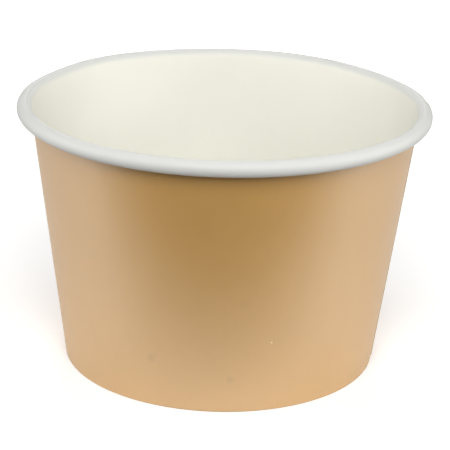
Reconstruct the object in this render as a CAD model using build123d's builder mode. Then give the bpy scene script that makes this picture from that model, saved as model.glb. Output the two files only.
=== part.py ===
from build123d import *

import os
from math import asin, atan2, cos, degrees, hypot, radians, sin, tan

# A round paper tub for ice cream: a cone of coated board with a curled rim, and a base disc sealed in its foot.
#
# The side wall is one fan-shaped sheet of board. It is rolled into a cone until its ends lap over each other at
# the side seam, its top edge is curled outwards into the rim, and its bottom edge is folded in and up as a hem.
# The base is a second piece, a disc whose edge is turned down as a skirt. The skirt is sealed between wall and hem.
#
# Frame: millimetres, +Z up, origin in the middle of the foot, on the surface that the tub stands on.
# +X goes through the middle of the side seam.


# Outside sizes of the tub
rim_diameter = 115.0
foot_diameter = 88.2
height = 74.6

# Board
wall_board = 0.42
base_board = 0.36
seal = 0.02  # film of coating that bonds two boards

# Curled rim
curl_height = 4.2  # outside diameter of the curl
curl_turn = 270.0  # degrees of the outer, round part of the curl
tuck_turn = 125.0  # degrees of the tighter end, tucked inside it
tuck_gap = 0.12  # clear space between the tucked end and the boards at the seam

# Foot
recess_depth = 7.6  # from the table up to the underside of the base
hem_height = 6.4  # how far the folded hem climbs inside the foot
skirt_gap = 0.3  # between the lower end of the skirt and the fold
fold_radius = 0.50  # outside radius of the two corners of the fold
base_bend = 0.90  # outside radius where the base turns down into its skirt

# Side seam
seam_lap = 8.0  # overlap of the two ends, along the wall at half height
seam_ramp = 6.0  # length over which the upper end climbs onto the lower one
seam_squeeze = 0.10  # how much thinner the two boards are where they are pressed together

# Shape that follows from the sizes above
rim_radius = rim_diameter / 2
foot_radius = foot_diameter / 2
curl_radius = curl_height / 2
seam_ride = wall_board - seam_squeeze
tuck_radius = curl_radius - wall_board - seam_ride - tuck_gap
fold_depth = 2 * wall_board + base_board + 2 * seal

# The white face of the wall runs tangent into the round of the curl, which fixes how far the wall leans out.
curl_x = rim_radius - curl_radius
curl_z = height - curl_radius
rise = curl_z
run = curl_x - foot_radius
lean = atan2(run, rise) - asin((curl_radius - wall_board) / hypot(run, rise))

# Angles of the seam, counted round the tub from +X
half_height_radius = (rim_radius + foot_radius) / 2
lap_angle = degrees(seam_lap / half_height_radius)
ramp_angle = degrees(seam_ramp / half_height_radius)
lap_from = -lap_angle / 2
lap_to = lap_angle / 2
ramp_to = lap_to + ramp_angle


def radial_plane(angle):
    """The upright plane through the axis of the tub, at an angle round it from +X."""
    turn = radians(angle)
    return Plane(origin=(0, 0, 0), x_dir=(cos(turn), sin(turn), 0), z_dir=(sin(turn), -cos(turn), 0))


def wall_x(inset, level):
    """Radius of the wall at a level, at a depth below its printed outer face."""
    return foot_radius + level * tan(lean) - inset / cos(lean)


def wall_face(inset, ride):
    """One face of the side wall's board, from the top of the hem, round the fold and up to the end of the curl.

    inset is the depth below the printed face, and ride is how far the sheet is lifted by the end that it laps over.
    """
    hem_inset = fold_depth - inset + ride
    round_radius = curl_radius - wall_board + inset - ride
    foot_fold = Polyline(
        (wall_x(hem_inset, hem_height), hem_height),
        (wall_x(hem_inset, inset), inset),
        (wall_x(inset - ride, inset), inset),
        (curl_x - round_radius * cos(lean), curl_z + round_radius * sin(lean)),
    )
    curl = JernArc(
        start=foot_fold @ 1,
        tangent=foot_fold % 1,
        radius=round_radius,
        arc_size=-curl_turn,
    )
    tuck = JernArc(
        start=curl @ 1,
        tangent=curl % 1,
        radius=tuck_radius - wall_board + inset - ride,
        arc_size=-tuck_turn,
    )
    return foot_fold @ 0, tuck @ 1


def wall_section(angle, ride=0.0):
    """The cut through the side wall's sheet at an angle round the tub."""
    with BuildSketch(radial_plane(angle)) as section:
        with BuildLine():
            printed_start, printed_end = wall_face(0.0, ride)
            white_start, white_end = wall_face(wall_board, ride)
            Line(printed_start, white_start)
            Line(printed_end, white_end)
        make_face()
        fold_corners = section.vertices().group_by(Axis.Y)[0]
        fillet(fold_corners, radius=fold_radius)
    return section.sketch


with BuildPart() as side_wall:
    revolve(wall_section(ramp_to), axis=Axis.Z, revolution_arc=360 - ramp_angle)
    loft([wall_section(lap_to, seam_ride), wall_section(ramp_to)], ruled=True)
    revolve(wall_section(lap_from, seam_ride), axis=Axis.Z, revolution_arc=lap_angle)
side_wall.part.label = "side_wall"


def base_face(inset):
    """One face of the base's board, from the axis out and down its skirt. inset is the depth below the outer face."""
    skirt_inset = wall_board + seal + inset
    skirt_end = wall_board + skirt_gap
    top = recess_depth + base_board - inset
    return FilletPolyline(
        (0, top),
        (wall_x(skirt_inset, top), top),
        (wall_x(skirt_inset, skirt_end), skirt_end),
        radius=base_bend - inset,
    )


with BuildPart() as base_disc:
    with BuildSketch(Plane.XZ):
        with BuildLine():
            food_side = base_face(0.0)
            under_side = base_face(base_board)
            Line(food_side @ 0, under_side @ 0)
            Line(food_side @ 1, under_side @ 1)
        make_face()
    revolve(axis=Axis.Z)
base_disc.part.label = "base_disc"


os.makedirs("parts", exist_ok=True)
export_step(side_wall.part, "parts/side_wall.step")
export_step(base_disc.part, "parts/base_disc.step")
print("side wall", round(side_wall.part.volume, 1), "mm3, base", round(base_disc.part.volume, 1), "mm3")
print("wall leans", round(degrees(lean), 2), "degrees; tuck radius", round(tuck_radius, 2))
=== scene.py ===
# %% [markdown]
# # A paper tub for ice cream, as a lesson in cells
#
# The object is an empty round tub of coated board. It is kraft brown outside and white inside, with a
# rolled white rim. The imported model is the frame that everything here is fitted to. It has the true sheet,
# curl, seam and base, but its surfaces are facets and its colours are plain. This script rolls both pieces
# of board again with finer faces, gives each side of the board its own finish, and lights the tub as a
# product photograph does.

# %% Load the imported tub
from math import asin, atan2, cos, degrees, hypot, pi, radians, sin, tan

import bpy
from mathutils import Matrix, Vector


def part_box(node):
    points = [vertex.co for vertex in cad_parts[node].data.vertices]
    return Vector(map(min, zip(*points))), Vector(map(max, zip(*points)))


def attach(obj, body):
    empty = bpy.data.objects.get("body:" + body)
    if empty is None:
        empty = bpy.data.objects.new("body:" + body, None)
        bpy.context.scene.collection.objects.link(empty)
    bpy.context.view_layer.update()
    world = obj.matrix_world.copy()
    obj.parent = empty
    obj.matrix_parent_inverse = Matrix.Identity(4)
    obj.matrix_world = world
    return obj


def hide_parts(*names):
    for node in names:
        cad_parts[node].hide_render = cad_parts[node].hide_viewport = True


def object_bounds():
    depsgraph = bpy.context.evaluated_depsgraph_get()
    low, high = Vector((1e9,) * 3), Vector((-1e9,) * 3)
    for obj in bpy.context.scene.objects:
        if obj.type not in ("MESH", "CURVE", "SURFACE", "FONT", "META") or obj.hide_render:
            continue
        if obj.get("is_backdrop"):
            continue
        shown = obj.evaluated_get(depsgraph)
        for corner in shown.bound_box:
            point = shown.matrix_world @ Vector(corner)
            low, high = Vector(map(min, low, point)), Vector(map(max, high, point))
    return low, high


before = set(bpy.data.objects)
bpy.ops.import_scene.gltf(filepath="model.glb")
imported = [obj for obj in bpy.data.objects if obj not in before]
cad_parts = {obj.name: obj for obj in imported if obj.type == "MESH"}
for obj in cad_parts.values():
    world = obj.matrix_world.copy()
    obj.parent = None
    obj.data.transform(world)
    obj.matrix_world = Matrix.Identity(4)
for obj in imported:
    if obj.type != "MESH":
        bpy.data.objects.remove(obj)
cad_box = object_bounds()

# %% [markdown]
# ## The camera first
#
# A model can only be compared with its photograph through the same eye. The rim and the foot show in the
# photograph as two ellipses, and their shapes and sizes fix where the camera stood: about half a metre
# away, looking 20 degrees down, and rolled a little. The camera's place is in metres, in the frame of the
# tub, whose foot stands at zero.

# %% Set the camera
camera_place = Vector((0.0, -0.4917, 0.2165))
camera_pitch = radians(20.0)
camera_yaw = radians(0.11)
camera_roll = radians(1.59)
sensor_width = 36.0
focal_length = 147.3


def camera_axes():
    """The camera's own right, up and backward directions, as the columns of a rotation."""
    level = cos(camera_pitch)
    ahead = Vector((sin(camera_yaw) * level, cos(camera_yaw) * level, -sin(camera_pitch)))
    level_right = Vector((cos(camera_yaw), -sin(camera_yaw), 0.0))
    level_up = level_right.cross(ahead)
    right = cos(camera_roll) * level_right + sin(camera_roll) * level_up
    up = cos(camera_roll) * level_up - sin(camera_roll) * level_right
    return Matrix((right, up, -ahead)).transposed()


camera = bpy.data.objects.new("camera", bpy.data.cameras.new("camera"))
camera.data.sensor_width = sensor_width
camera.data.lens = focal_length
camera.matrix_world = Matrix.Translation(camera_place) @ camera_axes().to_4x4()
bpy.context.scene.collection.objects.link(camera)
bpy.context.scene.camera = camera
bpy.context.scene.view_settings.view_transform = "Standard"
print("camera stands", round(camera_place.length, 3), "m from the foot")

# %% [markdown]
# ## Sizes
#
# The frame says how high the tub is and where its base lies. The widths of the rim and the foot, the
# thickness of each board, and the sizes of the curl, the fold and the seam come from the drawing that the
# frame was made from. The rest of the shape is worked out from them.

# %% Read the sizes
MM = 0.001
wall_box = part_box("side_wall")
base_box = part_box("base_disc")
height = wall_box[1].z
base_top = base_box[1].z
skirt_foot = base_box[0].z
rim_radius = 57.5 * MM
foot_radius = 44.1 * MM
wall_board = 0.42 * MM
base_board = 0.36 * MM
seal = 0.02 * MM
curl_radius = 2.1 * MM
curl_turn = radians(270)
tuck_turn = radians(125)
tuck_gap = 0.12 * MM
fold_radius = 0.50 * MM
base_bend = 0.90 * MM
hem_height = 6.4 * MM
seam_lap = 8.0 * MM
seam_ramp = 6.0 * MM
seam_squeeze = 0.10 * MM
print("the tub is", round(height / MM, 2), "mm high, and its base lies at", round(base_top / MM, 2), "mm")

# %% Work out the shape that follows from them
seam_ride = wall_board - seam_squeeze
tuck_radius = curl_radius - wall_board - seam_ride - tuck_gap
fold_depth = 2 * wall_board + base_board + 2 * seal
curl_x = rim_radius - curl_radius
curl_z = height - curl_radius
flare = curl_x - foot_radius
lean = atan2(flare, curl_z) - asin((curl_radius - wall_board) / hypot(flare, curl_z))
half_height_radius = (rim_radius + foot_radius) / 2
lap_angle = seam_lap / half_height_radius
ramp_angle = seam_ramp / half_height_radius
print("the wall leans out by", round(degrees(lean), 2), "degrees")

# %% Follow the slope of the wall
def wall_x(inset, level):
    """Radius of the wall at a level, at a depth below its printed outer face."""
    return foot_radius + level * tan(lean) - inset / cos(lean)


print("at half height the printed face has a radius of", round(wall_x(0.0, height / 2) / MM, 2), "mm")

# %% [markdown]
# ## Finishes
#
# Each finish is a small network of nodes. Written by hand, such a network is hard to read, so two small
# classes keep it short. `Paint` holds one material and has one method that adds any node. `Wire` wraps the
# output of a node. Where that is a number, Python's operators add Math nodes to it, so that a mask can be
# written as ordinary arithmetic.

# %% Define wires
class Wire:
    """The output of a node. Where it is a number, Python's operators add Math nodes to its material."""

    def __init__(self, paint, socket):
        self.paint = paint
        self.socket = socket

    def math(self, operation, *values, clamp=False):
        """Adds a Math node that works on some values or wires."""
        settings = {"operation": operation, "use_clamp": clamp}
        return self.paint.node("ShaderNodeMath", settings, dict(enumerate(values)))

    def __add__(self, other):
        return self.math("ADD", self, other)

    def __radd__(self, other):
        return self.math("ADD", other, self)

    def __sub__(self, other):
        return self.math("SUBTRACT", self, other)

    def __rsub__(self, other):
        return self.math("SUBTRACT", other, self)

    def __mul__(self, other):
        return self.math("MULTIPLY", self, other)

    def __rmul__(self, other):
        return self.math("MULTIPLY", other, self)

    def __truediv__(self, other):
        return self.math("DIVIDE", self, other)

    def held(self):
        """The same number, held between 0 and 1."""
        return self.math("ADD", self, 0.0, clamp=True)


# %% Define paint
class Paint:
    """A material and its nodes."""

    def __init__(self, name):
        self.material = bpy.data.materials.new(name)
        self.material.use_nodes = True
        self.tree = self.material.node_tree
        self.shader = self.tree.nodes["Principled BSDF"]

    def node(self, kind, settings, inputs, output=0):
        """Adds any node: its settings first, then the values or wires of its inputs."""
        added = self.tree.nodes.new(kind)
        for setting, value in settings.items():
            setattr(added, setting, value)
        for name, value in inputs.items():
            self.feed(added.inputs[name], value)
        return Wire(self, added.outputs[output])

    def feed(self, socket, value):
        """Links a wire to an input, or sets the input to a plain value."""
        if isinstance(value, Wire):
            self.tree.links.new(value.socket, socket)
        else:
            socket.default_value = value

    def give(self, name, value):
        """Feeds an input of the shader, which is found by its name."""
        self.feed(self.shader.inputs[name], value)

    def vector(self, operation, first, second=(0, 0, 0), output=0):
        """Adds a Vector Math node."""
        return self.node("ShaderNodeVectorMath", {"operation": operation}, {0: first, 1: second}, output)

    def here(self):
        """Object coordinates, in metres."""
        return self.node("ShaderNodeTexCoord", {}, {}, "Object")

    def noise(self, scale, detail=3.0, roughness=0.55, stretch=(1, 1, 1)):
        """Soft noise about 0.5, with features of about 1 / scale metres. A small stretch draws them out."""
        place = self.vector("MULTIPLY", self.here(), stretch)
        inputs = {"Vector": place, "Scale": scale, "Detail": detail, "Roughness": roughness}
        return self.node("ShaderNodeTexNoise", {}, inputs, "Fac")

    def mix(self, share, first, second):
        """Mixes two colours by a share from 0 to 1."""
        return self.node("ShaderNodeMix", {"data_type": "RGBA"}, {0: share, 6: first, 7: second}, 2)

    def relief(self, heights, depth):
        """Raises the surface by a wire of heights, to a depth in metres."""
        bump = self.node("ShaderNodeBump", {}, {"Height": heights, "Strength": 1.0, "Distance": depth})
        self.give("Normal", bump)

    def spot(self, centre, radius):
        """A soft round spot: 1 at its middle and 0 from its radius outwards."""
        away = self.vector("DISTANCE", self.here(), centre, output="Value")
        return (1 - away / radius).held()


# %% Write colours as in a picture
def shade(red, green, blue):
    """A colour written in the numbers of a picture, 0 to 255, as Blender's linear light."""
    def linear(value):
        share = value / 255
        return share / 12.92 if share <= 0.04045 else ((share + 0.055) / 1.055) ** 2.4
    return (linear(red), linear(green), linear(blue), 1.0)


print("a grey of 128 is", round(shade(128, 128, 128)[0], 3), "in linear light")

# %% [markdown]
# ## Printed kraft
#
# The outside is white board with a kraft brown printed over it and a satin varnish on top. Three things
# make it look like board and not like plastic: a cloudy print, fine fibres that show through it, and a
# surface that is never quite smooth. The varnish mirrors strongly and softly, which is why its index of
# refraction is high. The photograph also shows a few small marks. They are painted on as soft spots,
# placed by their angle round the tub and their height.

# %% Mix the kraft's colour
kraft_light = shade(209, 162, 89)
kraft_dark = shade(199, 152, 81)
fibre_share = 0.3

kraft = Paint("kraft_print")
cloud = kraft.noise(scale=55, detail=4)
fibres = kraft.noise(scale=420, detail=5, stretch=(1, 1, 0.35))
print_tone = (cloud * (1 - fibre_share) + fibres * fibre_share).held()
kraft_colour = kraft.mix(print_tone, kraft_dark, kraft_light)
print("the fibres make up", fibre_share, "of the print's variation")

# %% Place the marks
smudge_colour = shade(146, 106, 52)
fleck_colour = shade(244, 222, 176)

# A mark has an angle from +X in degrees, a level and a radius in millimetres, and a strength.
smudges = [
    (-112.9, 14.8, 1.6, 0.34),
    (-111.3, 15.9, 0.9, 0.18),
    (-85.8, 10.2, 1.5, 0.28),
    (-82.0, 33.1, 2.2, 0.1),
]
flecks = [(-72.6, 21.1, 0.45, 1.0)]


def on_wall(angle, level):
    """A point on the printed face, at an angle in degrees from +X and a level in millimetres."""
    radius = wall_x(0.0, level * MM)
    return (radius * cos(radians(angle)), radius * sin(radians(angle)), level * MM)


def with_marks(colour, marks, mark_colour):
    """Adds soft round marks to a colour of the kraft."""
    for angle, level, radius, strength in marks:
        share = kraft.spot(on_wall(angle, level), radius * MM) * strength
        colour = kraft.mix(share, colour, mark_colour)
    return colour


kraft_colour = with_marks(kraft_colour, smudges, smudge_colour)
kraft_colour = with_marks(kraft_colour, flecks, fleck_colour)
kraft.give("Base Color", kraft_colour)
print(len(smudges), "smudges and", len(flecks), "fleck")

# %% Varnish the kraft
varnish_roughness = 0.27
varnish_unevenness = 0.08
varnish_ior = 2.0
kraft.give("Roughness", varnish_roughness + varnish_unevenness * kraft.noise(scale=300))
kraft.give("IOR", varnish_ior)
kraft.give("Specular IOR Level", 1.0)
kraft.relief(kraft.noise(scale=900, detail=4), depth=0.02 * MM)
print("finish:", kraft.material.name)

# %% [markdown]
# ## White coating and cut edges
#
# The other side of the board has a thin white coating that holds the ice cream. In the photograph it is a
# little creamy down inside the tub and a cooler grey on the curl. The curl is the same coating, so its
# darker grey is painted shade. One finish covers both, with a soft border between the cream and the painted
# shade where the wall goes over into the curl. The border follows the height and the distance from the
# axis, because the rim isn't quite round. Where the board is cut, its layers of brown fibre show, so the cut
# edge has a rough finish of its own.

# %% Mix the white coating
coating_roughness = 0.52
coating_unevenness = 0.12
# Painted shade: the curl is the same white coating, given a darker, cooler grey for the shade it lies in.
curl_painted_shade = shade(213, 213, 209)
border_level = curl_z + 0.3 * MM
border_radius = curl_x - 0.5 * MM
border_width = 1.0 * MM

white = Paint("white_coating")
inside_tint = white.mix(white.noise(scale=60), shade(231, 230, 220), shade(235, 234, 224))
from_axis = white.vector("LENGTH", white.vector("MULTIPLY", white.here(), (1, 1, 0)), output="Value")
above_floor = white.node("ShaderNodeSeparateXYZ", {}, {0: white.here()}, "Z")
over_curl = ((above_floor - border_level) / border_width).held()
round_curl = ((from_axis - border_radius) / border_width).held()
# Towards the curl the white is mixed into the painted shade.
white.give("Base Color", white.mix((over_curl + round_curl).held(), inside_tint, curl_painted_shade))
white.give("Roughness", coating_roughness + coating_unevenness * white.noise(scale=260))
white.relief(white.noise(scale=800, detail=4), depth=0.015 * MM)
print("finish:", white.material.name)

# %% Mix the cut edge
raw = Paint("cut_edge")
layers = raw.noise(scale=2600, stretch=(1, 1, 0.2))
raw.give("Base Color", raw.mix(layers, shade(196, 178, 148), shade(228, 217, 196)))
raw.give("Roughness", 0.85)
raw.relief(raw.noise(scale=3000, detail=4), depth=0.04 * MM)
print("finish:", raw.material.name)

# %% [markdown]
# ## A pen that draws the outline of a sheet
#
# A rolled sheet is easiest to draw as its cut edge: one line in the XZ plane, which is then spun round the
# axis. The line starts as a plane that is merged into a single vertex. Extruding that vertex draws a
# straight run, and spinning it about a point beside it draws a bend, so the outline is drawn by the same
# two operators that a modeller uses by hand. The line runs along the middle of the board, and a modifier
# gives the board its thickness at the end.

# %% Define the pen
def start_outline(name, x, z):
    """A new object at the origin, with one vertex at a place in the XZ plane, left in edit mode."""
    bpy.ops.object.select_all(action="DESELECT")
    bpy.ops.mesh.primitive_plane_add(size=MM)
    piece = bpy.context.object
    piece.name = name
    piece.data.name = name
    bpy.ops.object.mode_set(mode="EDIT")
    bpy.ops.mesh.select_mode(type="VERT")
    bpy.ops.mesh.merge(type="CENTER")
    bpy.ops.transform.translate(value=(x, 0, z))
    return piece


def pen_place(piece):
    """Where the pen is: the vertex that is selected."""
    piece.update_from_editmode()
    return next(vertex.co.copy() for vertex in piece.data.vertices if vertex.select)


def draw_run(piece, x, z, parts=1):
    """Draws a straight run to a place, in a number of equal parts."""
    step = (Vector((x, 0, z)) - pen_place(piece)) / parts
    for _ in range(parts):
        bpy.ops.mesh.extrude_region_move(TRANSFORM_OT_translate={"value": step})


def draw_bend(piece, x, z, turn, parts):
    """Draws a bend about a place. A positive turn goes clockwise, seen from the camera's side."""
    bpy.ops.mesh.spin(steps=parts, angle=turn, center=(x, 0, z), axis=(0, -1, 0))


# %% [markdown]
# ## The outline of the side wall
#
# Going up from the cut edge inside the foot, the board runs down the hem, turns twice through the fold on
# which the tub stands, climbs the whole height of the wall, and rolls outwards into the rim. The curl is
# one round of 270 degrees and then a tighter tuck that ends inside it, as the curling tool leaves it. The
# tight bends get as many points as the eye needs, and the straight runs only a few.

# %% Choose how finely to draw
hem_parts = 4
bend_parts = 6
wall_parts = 24
curl_parts = 60
tuck_parts = 16

# %% Find the two corners of the fold
middle = wall_board / 2
hem_inset = fold_depth - middle
up_the_wall = Vector((sin(lean), 0, cos(lean)))
bend_radius = fold_radius - middle
inner_turn = radians(90) + lean
outer_turn = radians(90) - lean
inner_reach = bend_radius / tan((pi - inner_turn) / 2)
outer_reach = bend_radius / tan((pi - outer_turn) / 2)
inner_corner = Vector((wall_x(hem_inset, middle), 0, middle))
outer_corner = Vector((wall_x(middle, middle), 0, middle))
hem_foot = inner_corner + inner_reach * up_the_wall
wall_foot = outer_corner + outer_reach * up_the_wall
print("the fold turns by", [round(degrees(turn), 1) for turn in (inner_turn, outer_turn)], "degrees")

# %% Draw the hem, the fold and the wall
wall = start_outline("tub_wall", wall_x(hem_inset, hem_height), hem_height)
draw_run(wall, hem_foot.x, hem_foot.z, hem_parts)
draw_bend(wall, inner_corner.x + inner_reach, middle + bend_radius, -inner_turn, bend_parts)
draw_run(wall, outer_corner.x - outer_reach, middle)
draw_bend(wall, outer_corner.x - outer_reach, middle + bend_radius, -outer_turn, bend_parts)
curl_middle = curl_radius - middle
curl_start = Vector((curl_x - curl_middle * cos(lean), 0, curl_z + curl_middle * sin(lean)))
draw_run(wall, curl_start.x, curl_start.z, wall_parts)
print("the curl starts at", round(curl_start.z / MM, 2), "mm")

# %% Draw the curl and its tuck
draw_bend(wall, curl_x, curl_z, curl_turn, curl_parts)
curl_end = pen_place(wall)
tuck_middle = tuck_radius - middle
to_middle = (Vector((curl_x, 0, curl_z)) - curl_end).normalized()
tuck_centre = curl_end + tuck_middle * to_middle
draw_bend(wall, tuck_centre.x, tuck_centre.z, tuck_turn, tuck_parts)
bpy.ops.object.mode_set(mode="OBJECT")
outline_count = len(wall.data.vertices)
print("outline of the side wall:", outline_count, "points")

# %% [markdown]
# ## Rolling the sheet
#
# Spinning the outline by one full turn would close the wall without a seam. The real blank is a little
# longer than that, so its ends lap. Here the spin goes on past the full turn by the width of the lap, and
# the sheet is then turned back by half the lap, which puts the seam at +X. With no window open, the rotate
# operator turns clockwise for a positive angle.

# %% Roll the side wall
round_steps = 360
sheet_turn = 2 * pi + lap_angle


def roll(piece, turn, steps):
    """Spins the whole outline about the upright axis, anticlockwise from above."""
    bpy.ops.object.mode_set(mode="EDIT")
    bpy.ops.mesh.select_all(action="SELECT")
    bpy.ops.mesh.spin(steps=steps, angle=turn, center=(0, 0, 0), axis=(0, 0, -1))
    bpy.ops.mesh.select_all(action="SELECT")


roll(wall, sheet_turn, round_steps)
bpy.ops.transform.rotate(value=lap_angle / 2, orient_axis="Z", center_override=(0, 0, 0))
bpy.ops.mesh.normals_make_consistent(inside=False)
bpy.ops.object.mode_set(mode="OBJECT")
column_count = len(wall.data.vertices) // outline_count
print("the sheet has", column_count, "columns of", outline_count, "points")

# %% Turn the printed side outwards
def faces_outwards(piece, level):
    """Whether the faces at a level look away from the axis."""
    face = min(piece.data.polygons, key=lambda each: abs(each.center.z - level))
    return face.normal.x * face.center.x + face.normal.y * face.center.y > 0


if not faces_outwards(wall, height / 2):
    bpy.ops.object.mode_set(mode="EDIT")
    bpy.ops.mesh.select_all(action="SELECT")
    bpy.ops.mesh.flip_normals()
    bpy.ops.object.mode_set(mode="OBJECT")
print("printed side outwards:", faces_outwards(wall, height / 2))

# %% [markdown]
# ## Lifting the lap, creasing the curl and knurling the hem
#
# Three more things happen to the sheet, and each is a Displace modifier with a vertex group that says where
# it works. The upper end of the seam is lifted over the lower one, along a ramp. The curl has a shallow
# crease, which the photograph shows as a fine line round the inside of the rim, where the board breaks
# over. The hem is knurled: the wheel that seals the foot of such a tub leaves upright flutes in it, which
# are seen only from below. The weights come from each point's place on the sheet, which its number gives,
# because the spin adds whole columns of points in order.

# %% Find each point's place on the sheet
def smooth(share):
    """A soft step from 0 to 1."""
    held = min(max(share, 0.0), 1.0)
    return held * held * (3 - 2 * held)


def turn_of_column(column):
    """How far round the tub a column of the sheet is, from the upper end of the seam."""
    return sheet_turn * column / (column_count - 1)


column_of = [vertex.index // outline_count for vertex in wall.data.vertices]
row_of = [vertex.index % outline_count for vertex in wall.data.vertices]
sheet_ends = [turn_of_column(column) - lap_angle / 2 for column in (column_of[0], column_of[-1])]
print("the sheet's ends are at", [round(degrees(end), 2) for end in sheet_ends], "degrees from +X")

# %% Move points by their weight
def add_modifier(piece, kind, **settings):
    """Adds a modifier, sets it and applies it."""
    modifier = piece.modifiers.new(kind.title(), kind)
    for setting, value in settings.items():
        setattr(modifier, setting, value)
    bpy.context.view_layer.objects.active = piece
    bpy.ops.object.modifier_apply(modifier=modifier.name)


def displace(piece, name, depth, weight_of):
    """Moves points along their normals, by a depth times a weight that their row and column give."""
    group = piece.vertex_groups.new(name=name)
    for vertex in piece.data.vertices:
        group.add([vertex.index], weight_of(row_of[vertex.index], column_of[vertex.index]), "REPLACE")
    add_modifier(piece, "DISPLACE", direction="NORMAL", vertex_group=name, strength=depth, mid_level=0.0)


# %% Lift the upper end over the lower one
def lift_weight(row, column):
    """1 over the lap, and fading out along the ramp."""
    return 1 - smooth((turn_of_column(column) - lap_angle) / ramp_angle)


displace(wall, "lift", seam_ride, lift_weight)
print("upper end lifted by", round(seam_ride / MM, 2), "mm")

# %% Crease the curl
crease_turn = radians(60)
crease_width = radians(6)
crease_depth = 0.14 * MM
curl_row = hem_parts + bend_parts + 1 + bend_parts + wall_parts


def crease_weight(row, column):
    """1 on the crease and 0 away from it."""
    off = ((row - curl_row) * curl_turn / curl_parts - crease_turn) / crease_width
    return max(0.0, 1 - off * off) ** 2


displace(wall, "crease", crease_depth, crease_weight)
print("crease", round(crease_depth / MM, 2), "mm deep,", round(degrees(crease_turn)), "degrees into the curl")

# %% Knurl the hem
flute_columns = 4
flute_depth = 0.12 * MM


def flute_weight(row, column):
    """Flutes round the hem that fade out towards the fold."""
    wave = 0.5 + 0.5 * sin(2 * pi * column / flute_columns)
    return wave * smooth((hem_parts - row) / 2) if row < hem_parts else 0.0


displace(wall, "flutes", flute_depth, flute_weight)
print((column_count - 1) // flute_columns, "flutes in the hem")

# %% [markdown]
# ## Standing the wall on the table
#
# The lift pushes the upper end outwards all along the seam, in the fold too, where outwards is down and
# would go through the table. A real fold is pressed flat there by the weight of the tub and by its tool, so
# every point below the fold's own level is moved up to it. The lower end lies on the inside of the upper
# one, so its fold is moved up a little, away from the table.

# %% Press the fold flat
def select_points(piece, wanted):
    """Selects the vertices that a test picks, enters edit mode with them, and counts them."""
    bpy.ops.object.mode_set(mode="EDIT")
    bpy.ops.mesh.select_mode(type="VERT")
    bpy.ops.mesh.select_all(action="DESELECT")
    bpy.ops.object.mode_set(mode="OBJECT")
    for vertex in piece.data.vertices:
        vertex.select = wanted(vertex)
    count = sum(vertex.select for vertex in piece.data.vertices)
    bpy.ops.object.mode_set(mode="EDIT")
    return count


def press_flat(piece, level):
    """Moves the points below a level up to it, and counts them."""
    count = select_points(piece, lambda vertex: vertex.co.z < level)
    if count:
        bpy.ops.transform.resize(value=(1, 1, 0), center_override=(0, 0, level))
    bpy.ops.object.mode_set(mode="OBJECT")
    return count


print("pressed", press_flat(wall, middle), "points flat")

# %% Bury the lower end's fold
buried = 0.08 * MM
fold_level = middle + 0.01 * MM
lower_end_turn = sheet_turn - lap_angle


def in_lower_fold(vertex):
    """Whether a point is on the flat of the fold, at the lower end of the seam."""
    return vertex.co.z < fold_level and turn_of_column(column_of[vertex.index]) > lower_end_turn


moved = select_points(wall, in_lower_fold)
bpy.ops.transform.translate(value=(0, 0, buried))
bpy.ops.object.mode_set(mode="OBJECT")
print("buried", moved, "points of the lower end's fold")

# %% [markdown]
# ## A rim that isn't quite round
#
# A paper rim is never a true circle, and the outline in the photograph shows where this one is pressed in
# and where it stands out. Each departure is one move with proportional editing: a narrow wedge of the rim
# is selected and moved, and what is near follows it softly.

# %% Push the rim a little out of round
push_wedge = radians(2)

# A push has an angle from +X in degrees, a distance outwards and a reach, both in millimetres.
rim_pushes = [
    (34, -0.7, 26),
    (153, -0.4, 16),
    (130, 0.55, 20),
    (72, 0.4, 24),
]


def in_wedge(vertex, outwards):
    """Whether a point is on the curl and in a narrow wedge about a direction."""
    flat = Vector((vertex.co.x, vertex.co.y, 0))
    return vertex.co.z > curl_z - curl_radius and flat.angle(outwards) < push_wedge


for angle, distance, reach in rim_pushes:
    outwards = Vector((cos(radians(angle)), sin(radians(angle)), 0))
    select_points(wall, lambda vertex: in_wedge(vertex, outwards))
    bpy.ops.transform.translate(
        value=distance * MM * outwards, use_proportional_edit=True, proportional_edit_falloff="SMOOTH",
        proportional_size=reach * MM)
    bpy.ops.object.mode_set(mode="OBJECT")
print("rim pushed at", [angle for angle, distance, reach in rim_pushes], "degrees")

# %% [markdown]
# ## Giving the board its thickness
#
# So far the sheet is only the middle of the board. Solidify adds half the board on each side and closes the
# cut edges. It can give the second side and the cut edges other materials than the first, counted on from
# the first in the piece's list, so printed side, white side and cut edge each get their finish here.

# %% Thicken the side wall
smooth_limit = radians(40)


def coat(piece, *finishes):
    """Gives a piece its finishes, in the order of the sheet's own side, its other side and its cut edges."""
    for finish in finishes:
        piece.data.materials.append(finish.material)


def thicken(piece, board, other_side, cut_edge):
    """Gives a sheet its thickness. The last two say how far on in its list their finishes are."""
    add_modifier(piece, "SOLIDIFY", thickness=board, offset=0.0, use_even_offset=True,
                 use_quality_normals=True, material_offset=other_side, material_offset_rim=cut_edge)


def shade_smooth(piece):
    """Shades a piece smooth, apart from its sharp edges."""
    bpy.ops.object.select_all(action="DESELECT")
    piece.select_set(True)
    bpy.context.view_layer.objects.active = piece
    bpy.ops.object.shade_smooth_by_angle(angle=smooth_limit)


coat(wall, kraft, white, raw)
thicken(wall, wall_board, other_side=1, cut_edge=2)
press_flat(wall, 0)
shade_smooth(wall)
wall_size = [round(size / MM, 2) for size in wall.dimensions]
print("side wall:", len(wall.data.polygons), "faces,", wall_size, "mm")

# %% [markdown]
# ## The base
#
# The base is a disc of thinner board whose edge is turned down into a skirt. The skirt is held between the
# wall and its hem. Its outline starts on the axis, so spinning it closes the disc, and merging the doubled
# points there closes the pole. Both of its sides are white.

# %% Choose how finely to draw the base
disc_parts = 16
base_bend_parts = 8
skirt_parts = 4
base_steps = 180

# %% Draw the base's outline
base_middle = base_board / 2
disc_z = base_top - base_middle
skirt_inset = wall_board + seal + base_middle
base_bend_middle = base_bend - base_middle
base_turn = radians(90) + lean
disc_edge = wall_x(skirt_inset, disc_z) - base_bend_middle * tan(base_turn / 2)

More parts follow.
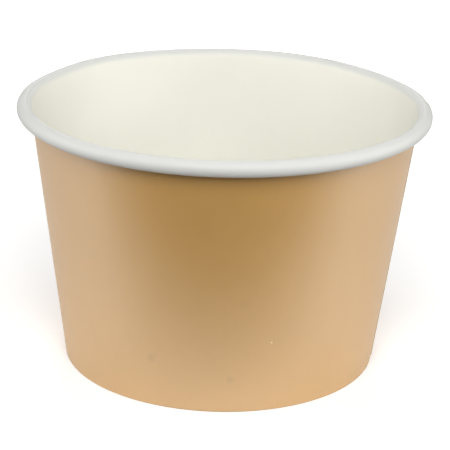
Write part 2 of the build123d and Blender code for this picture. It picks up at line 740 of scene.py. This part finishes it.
base = start_outline("tub_base", 0, disc_z)
draw_run(base, disc_edge, disc_z, disc_parts)
draw_bend(base, disc_edge, disc_z - base_bend_middle, base_turn, base_bend_parts)
draw_run(base, wall_x(skirt_inset, skirt_foot), skirt_foot, skirt_parts)
print("the base turns down at a radius of", round(disc_edge / MM, 2), "mm")

# %% Spin and thicken the base
roll(base, 2 * pi, base_steps)
bpy.ops.mesh.remove_doubles(threshold=0.001 * MM)
bpy.ops.mesh.normals_make_consistent(inside=False)
bpy.ops.object.mode_set(mode="OBJECT")
coat(base, white, raw)
thicken(base, base_board, other_side=0, cut_edge=1)
shade_smooth(base)
highest = max(vertex.co.z for vertex in base.data.vertices)
print("base:", len(base.data.polygons), "faces, top at", round(highest / MM, 2), "mm")

# %% [markdown]
# ## The floor
#
# The photograph has a plain white ground and even light from all around, as in a light tent. Yet the middle
# of the wall is darker and richer in colour than its sides, most of all near the rim. The varnish is a soft
# mirror: the sides and the foot mirror the white table, and the middle mirrors what lies before the tub,
# under the camera, which must have been dark. A dark card there would show in the picture and in its
# shadows, so the floor itself differs with the kind of ray. It is white wherever the camera looks. For what
# the tub mirrors it fades to dark before the tub, and it ends some way behind it, which gives the far edge
# of the rim its grey line. The tub has no metal or glass that would have to show the white ground.

# %% Lay the floor
floor_size = 6.0
bpy.ops.object.select_all(action="DESELECT")
bpy.ops.mesh.primitive_plane_add(size=floor_size)
floor = bpy.context.object
floor.name = "floor"
ground = Paint("ground")
ground.give("Roughness", 0.9)
ground.give("Specular IOR Level", 0.0)
print("the floor is", floor_size, "m wide")

# %% [markdown]
# ## Where the floor is dark
#
# The two borders are places in metres beyond the tub's axis, seen from the camera, so the one before the
# tub is negative. The fade there starts just before the foot. It runs slightly askew, because the darkest
# part of the wall lies a little to the left of its middle.

# %% Let the floor fade before and behind the tub
front_edge = -0.047
front_fade = 0.07
front_slant = 0.02
back_edge = 0.2
back_fade = 0.05
forwards = ground.vector("DOT_PRODUCT", ground.here(), (front_slant, 1, 0), output="Value")
before_tub = ((front_edge - forwards) / front_fade).held()
behind_tub = ((forwards - back_edge) / back_fade).held()
off_table = (before_tub + behind_tub).held()
print("the floor fades over", round(front_fade / MM), "mm before the tub")

# %% [markdown]
# ## For which light the floor is dark
#
# What the varnish mirrors is a glossy ray, and it sees the fades in full. The soft light that the floor
# throws up at the tub sees them in part, and sees the whole floor a little greyer than it is, which keeps
# the underside of the rim in shade. A camera ray sees only white.

# %% Tell the kinds of ray apart
floor_white = shade(236, 236, 236)
room_dark = shade(20, 20, 20)
soft_fade = 0.75
soft_grey = 0.1
camera_ray = ground.node("ShaderNodeLightPath", {}, {}, "Is Camera Ray")
glossy_ray = ground.node("ShaderNodeLightPath", {}, {}, "Is Glossy Ray")
soft_ray = (1 - glossy_ray) * (1 - camera_ray)
dark_share = (off_table * (glossy_ray + soft_ray * soft_fade) + soft_ray * soft_grey).held()
ground.give("Base Color", ground.mix(dark_share, floor_white, room_dark))
print("soft light sees", soft_fade, "of the fades and a grey of", soft_grey)

# %% [markdown]
# ## A ground that stays white
#
# Lamps alone leave a white floor a little grey in the picture, most of all far from them. The floor has
# some light of its own for that, which only the camera sees. It is weak near the tub and grows outwards,
# so that the tub's shadow stays.

# %% Keep the ground white for the camera
glow_from = 0.08
glow_to = 0.5
near_glow = 0.28
far_glow = 0.8
from_tub = ground.vector("LENGTH", ground.here(), output="Value")
further_off = ((from_tub - glow_from) / (glow_to - glow_from)).held()
glow = near_glow + (far_glow - near_glow) * further_off
ground.give("Emission Strength", 1.0)
ground.give("Emission Color", ground.mix(camera_ray * glow, shade(0, 0, 0), shade(255, 255, 255)))
floor.data.materials.append(ground.material)
floor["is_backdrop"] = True
print("floor finish:", ground.material.name)

# %% [markdown]
# ## Light
#
# Six square lamps stand in for the walls of the light tent. The strongest hangs high in front and lights
# the far wall inside the tub, and the low ones at the sides give the wall its even, pale flanks. The world
# is white where the camera sees it and black for everything else, so it adds no light.

# %% Light the world
world = bpy.data.worlds.new("studio")
world.use_nodes = True
bpy.context.scene.world = world
background = world.node_tree.nodes["Background"]
world_ray = world.node_tree.nodes.new("ShaderNodeLightPath")
background.inputs["Color"].default_value = (1, 1, 1, 1)
world.node_tree.links.new(world_ray.outputs["Is Camera Ray"], background.inputs["Strength"])
print("world:", world.name)

# %% Hang the lamps
lamp_distance = 0.9
lamp_size = 0.5


def softbox(name, azimuth, elevation, strength):
    """A square lamp aimed at the tub. Azimuth 0 is the camera's side and counts to its right, in degrees.

    The strength is roughly the brightness of its face, where 1 is the white of a picture.
    """
    lamp = bpy.data.lights.new(name, "AREA")
    lamp.size = lamp_size
    lamp.energy = strength * pi * lamp_size ** 2
    holder = bpy.data.objects.new(name, lamp)
    turn, climb = radians(azimuth), radians(elevation)
    away = Vector((sin(turn) * cos(climb), -cos(turn) * cos(climb), sin(climb)))
    place = Vector((0, 0, height / 2)) + lamp_distance * away
    holder.matrix_world = Matrix.Translation(place) @ (-away).to_track_quat("-Z", "Y").to_matrix().to_4x4()
    bpy.context.scene.collection.objects.link(holder)
    holder.visible_camera = False
    return holder


lamps = [
    softbox("front_high_box", 0, 41, 8.5),
    softbox("left_low_box", -90, 14, 5.1),
    softbox("right_low_box", 90, 14, 4.1),
    softbox("right_front_box", 45, 14, 1.9),
    softbox("back_high_box", 180, 30, 3.0),
    softbox("top_box", 0, 90, 1.5),
]
print("lamps:", [lamp.name for lamp in lamps])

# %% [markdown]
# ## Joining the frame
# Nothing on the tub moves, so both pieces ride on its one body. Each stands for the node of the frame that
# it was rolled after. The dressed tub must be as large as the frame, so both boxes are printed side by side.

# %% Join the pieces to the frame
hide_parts("side_wall")
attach(wall, "root")
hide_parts("base_disc")
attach(base, "root")

# %% Print the two boxes
dressed_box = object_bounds()
for name, box in (("frame", cad_box), ("dressed", dressed_box)):
    print(name, [round(value / MM, 2) for corner in box for value in corner])
